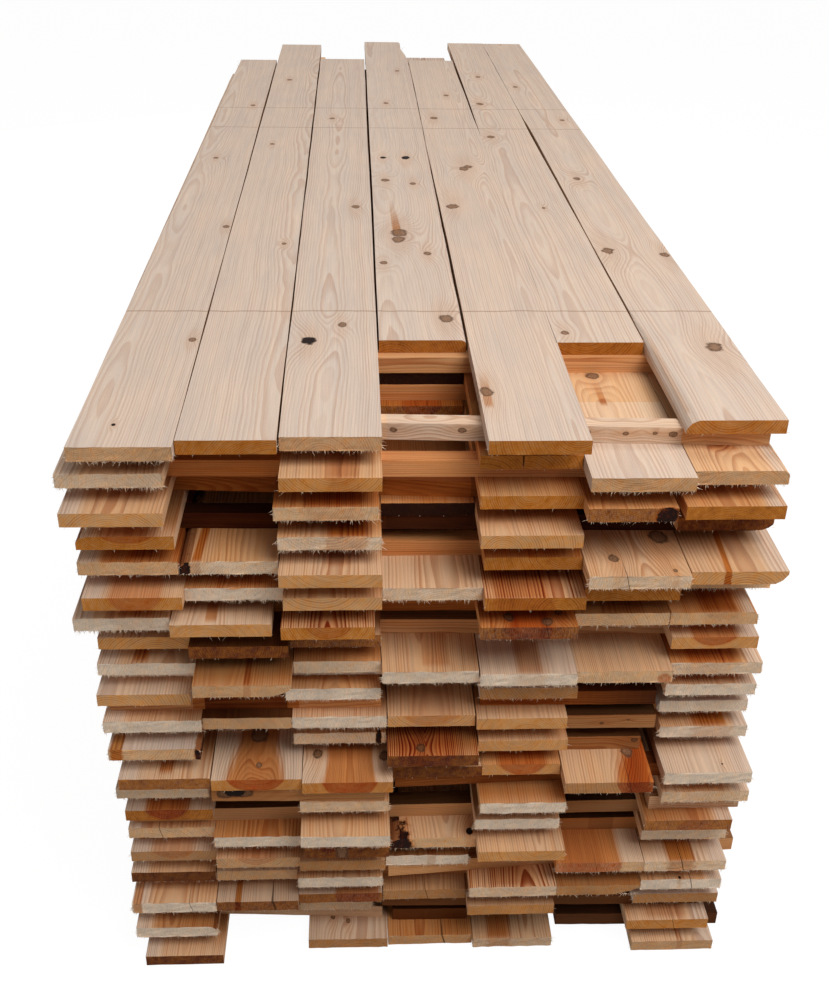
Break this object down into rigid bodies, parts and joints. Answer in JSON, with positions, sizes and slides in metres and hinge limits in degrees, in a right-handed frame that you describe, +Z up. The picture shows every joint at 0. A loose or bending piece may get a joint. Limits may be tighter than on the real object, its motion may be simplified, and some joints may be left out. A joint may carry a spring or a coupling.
{
  "type": "stack of lumber",
  "caption": "Air-drying stack of rough-sawn boards laid side by side in layers, kept apart by crosswise wooden stickers.",
  "frame": {"origin": "on the floor under the middle column of boards, halfway along a long board whose front end is in the stack's face", "axes": "+Z up, +Y along the boards, away from the stack's face of board ends, +X to the right seen from that face"},
  "size_m": [1.139, 3.435, 1.063],
  "materials": {
    "board_wood": "rough sawn",
    "sticker_wood": "rough sawn"
  },
  "bodies": {
    "root": {"board_layer_01": "board_wood", "board_layer_02": "board_wood", "board_layer_03": "board_wood", "board_layer_04": "board_wood", "board_layer_05": "board_wood", "board_layer_06": "board_wood", "board_layer_07": "board_wood", "board_layer_08": "board_wood", "board_layer_09": "board_wood", "board_layer_10": "board_wood", "board_layer_11": "board_wood", "board_layer_12": "board_wood", "board_layer_13": "board_wood", "board_layer_14": "board_wood", "board_layer_15": "board_wood", "board_layer_16": "board_wood", "board_layer_17": "board_wood", "board_layer_18": "board_wood", "board_layer_19": "board_wood", "board_layer_20": "board_wood", "board_layer_21": "board_wood", "front_sticker_01": "sticker_wood", "front_sticker_02": "sticker_wood", "front_sticker_03": "sticker_wood", "front_sticker_04": "sticker_wood", "front_sticker_05": "sticker_wood", "front_sticker_06": "sticker_wood", "front_sticker_07": "sticker_wood", "front_sticker_08": "sticker_wood", "front_sticker_09": "sticker_wood", "front_sticker_10": "sticker_wood", "front_sticker_11": "sticker_wood", "front_sticker_12": "sticker_wood", "front_sticker_13": "sticker_wood", "front_sticker_14": "sticker_wood", "front_sticker_15": "sticker_wood", "front_sticker_16": "sticker_wood", "front_sticker_17": "sticker_wood", "front_sticker_18": "sticker_wood", "front_sticker_19": "sticker_wood", "front_sticker_20": "sticker_wood", "front_sticker_10_right": "sticker_wood", "front_sticker_11_right": "sticker_wood", "front_sticker_12_right": "sticker_wood", "front_sticker_13_right": "sticker_wood", "front_sticker_14_right": "sticker_wood", "front_sticker_17_right": "sticker_wood", "front_sticker_19_right": "sticker_wood", "front_sticker_20_middle": "sticker_wood", "front_sticker_20_right": "sticker_wood"}
  },
  "joints": []
}
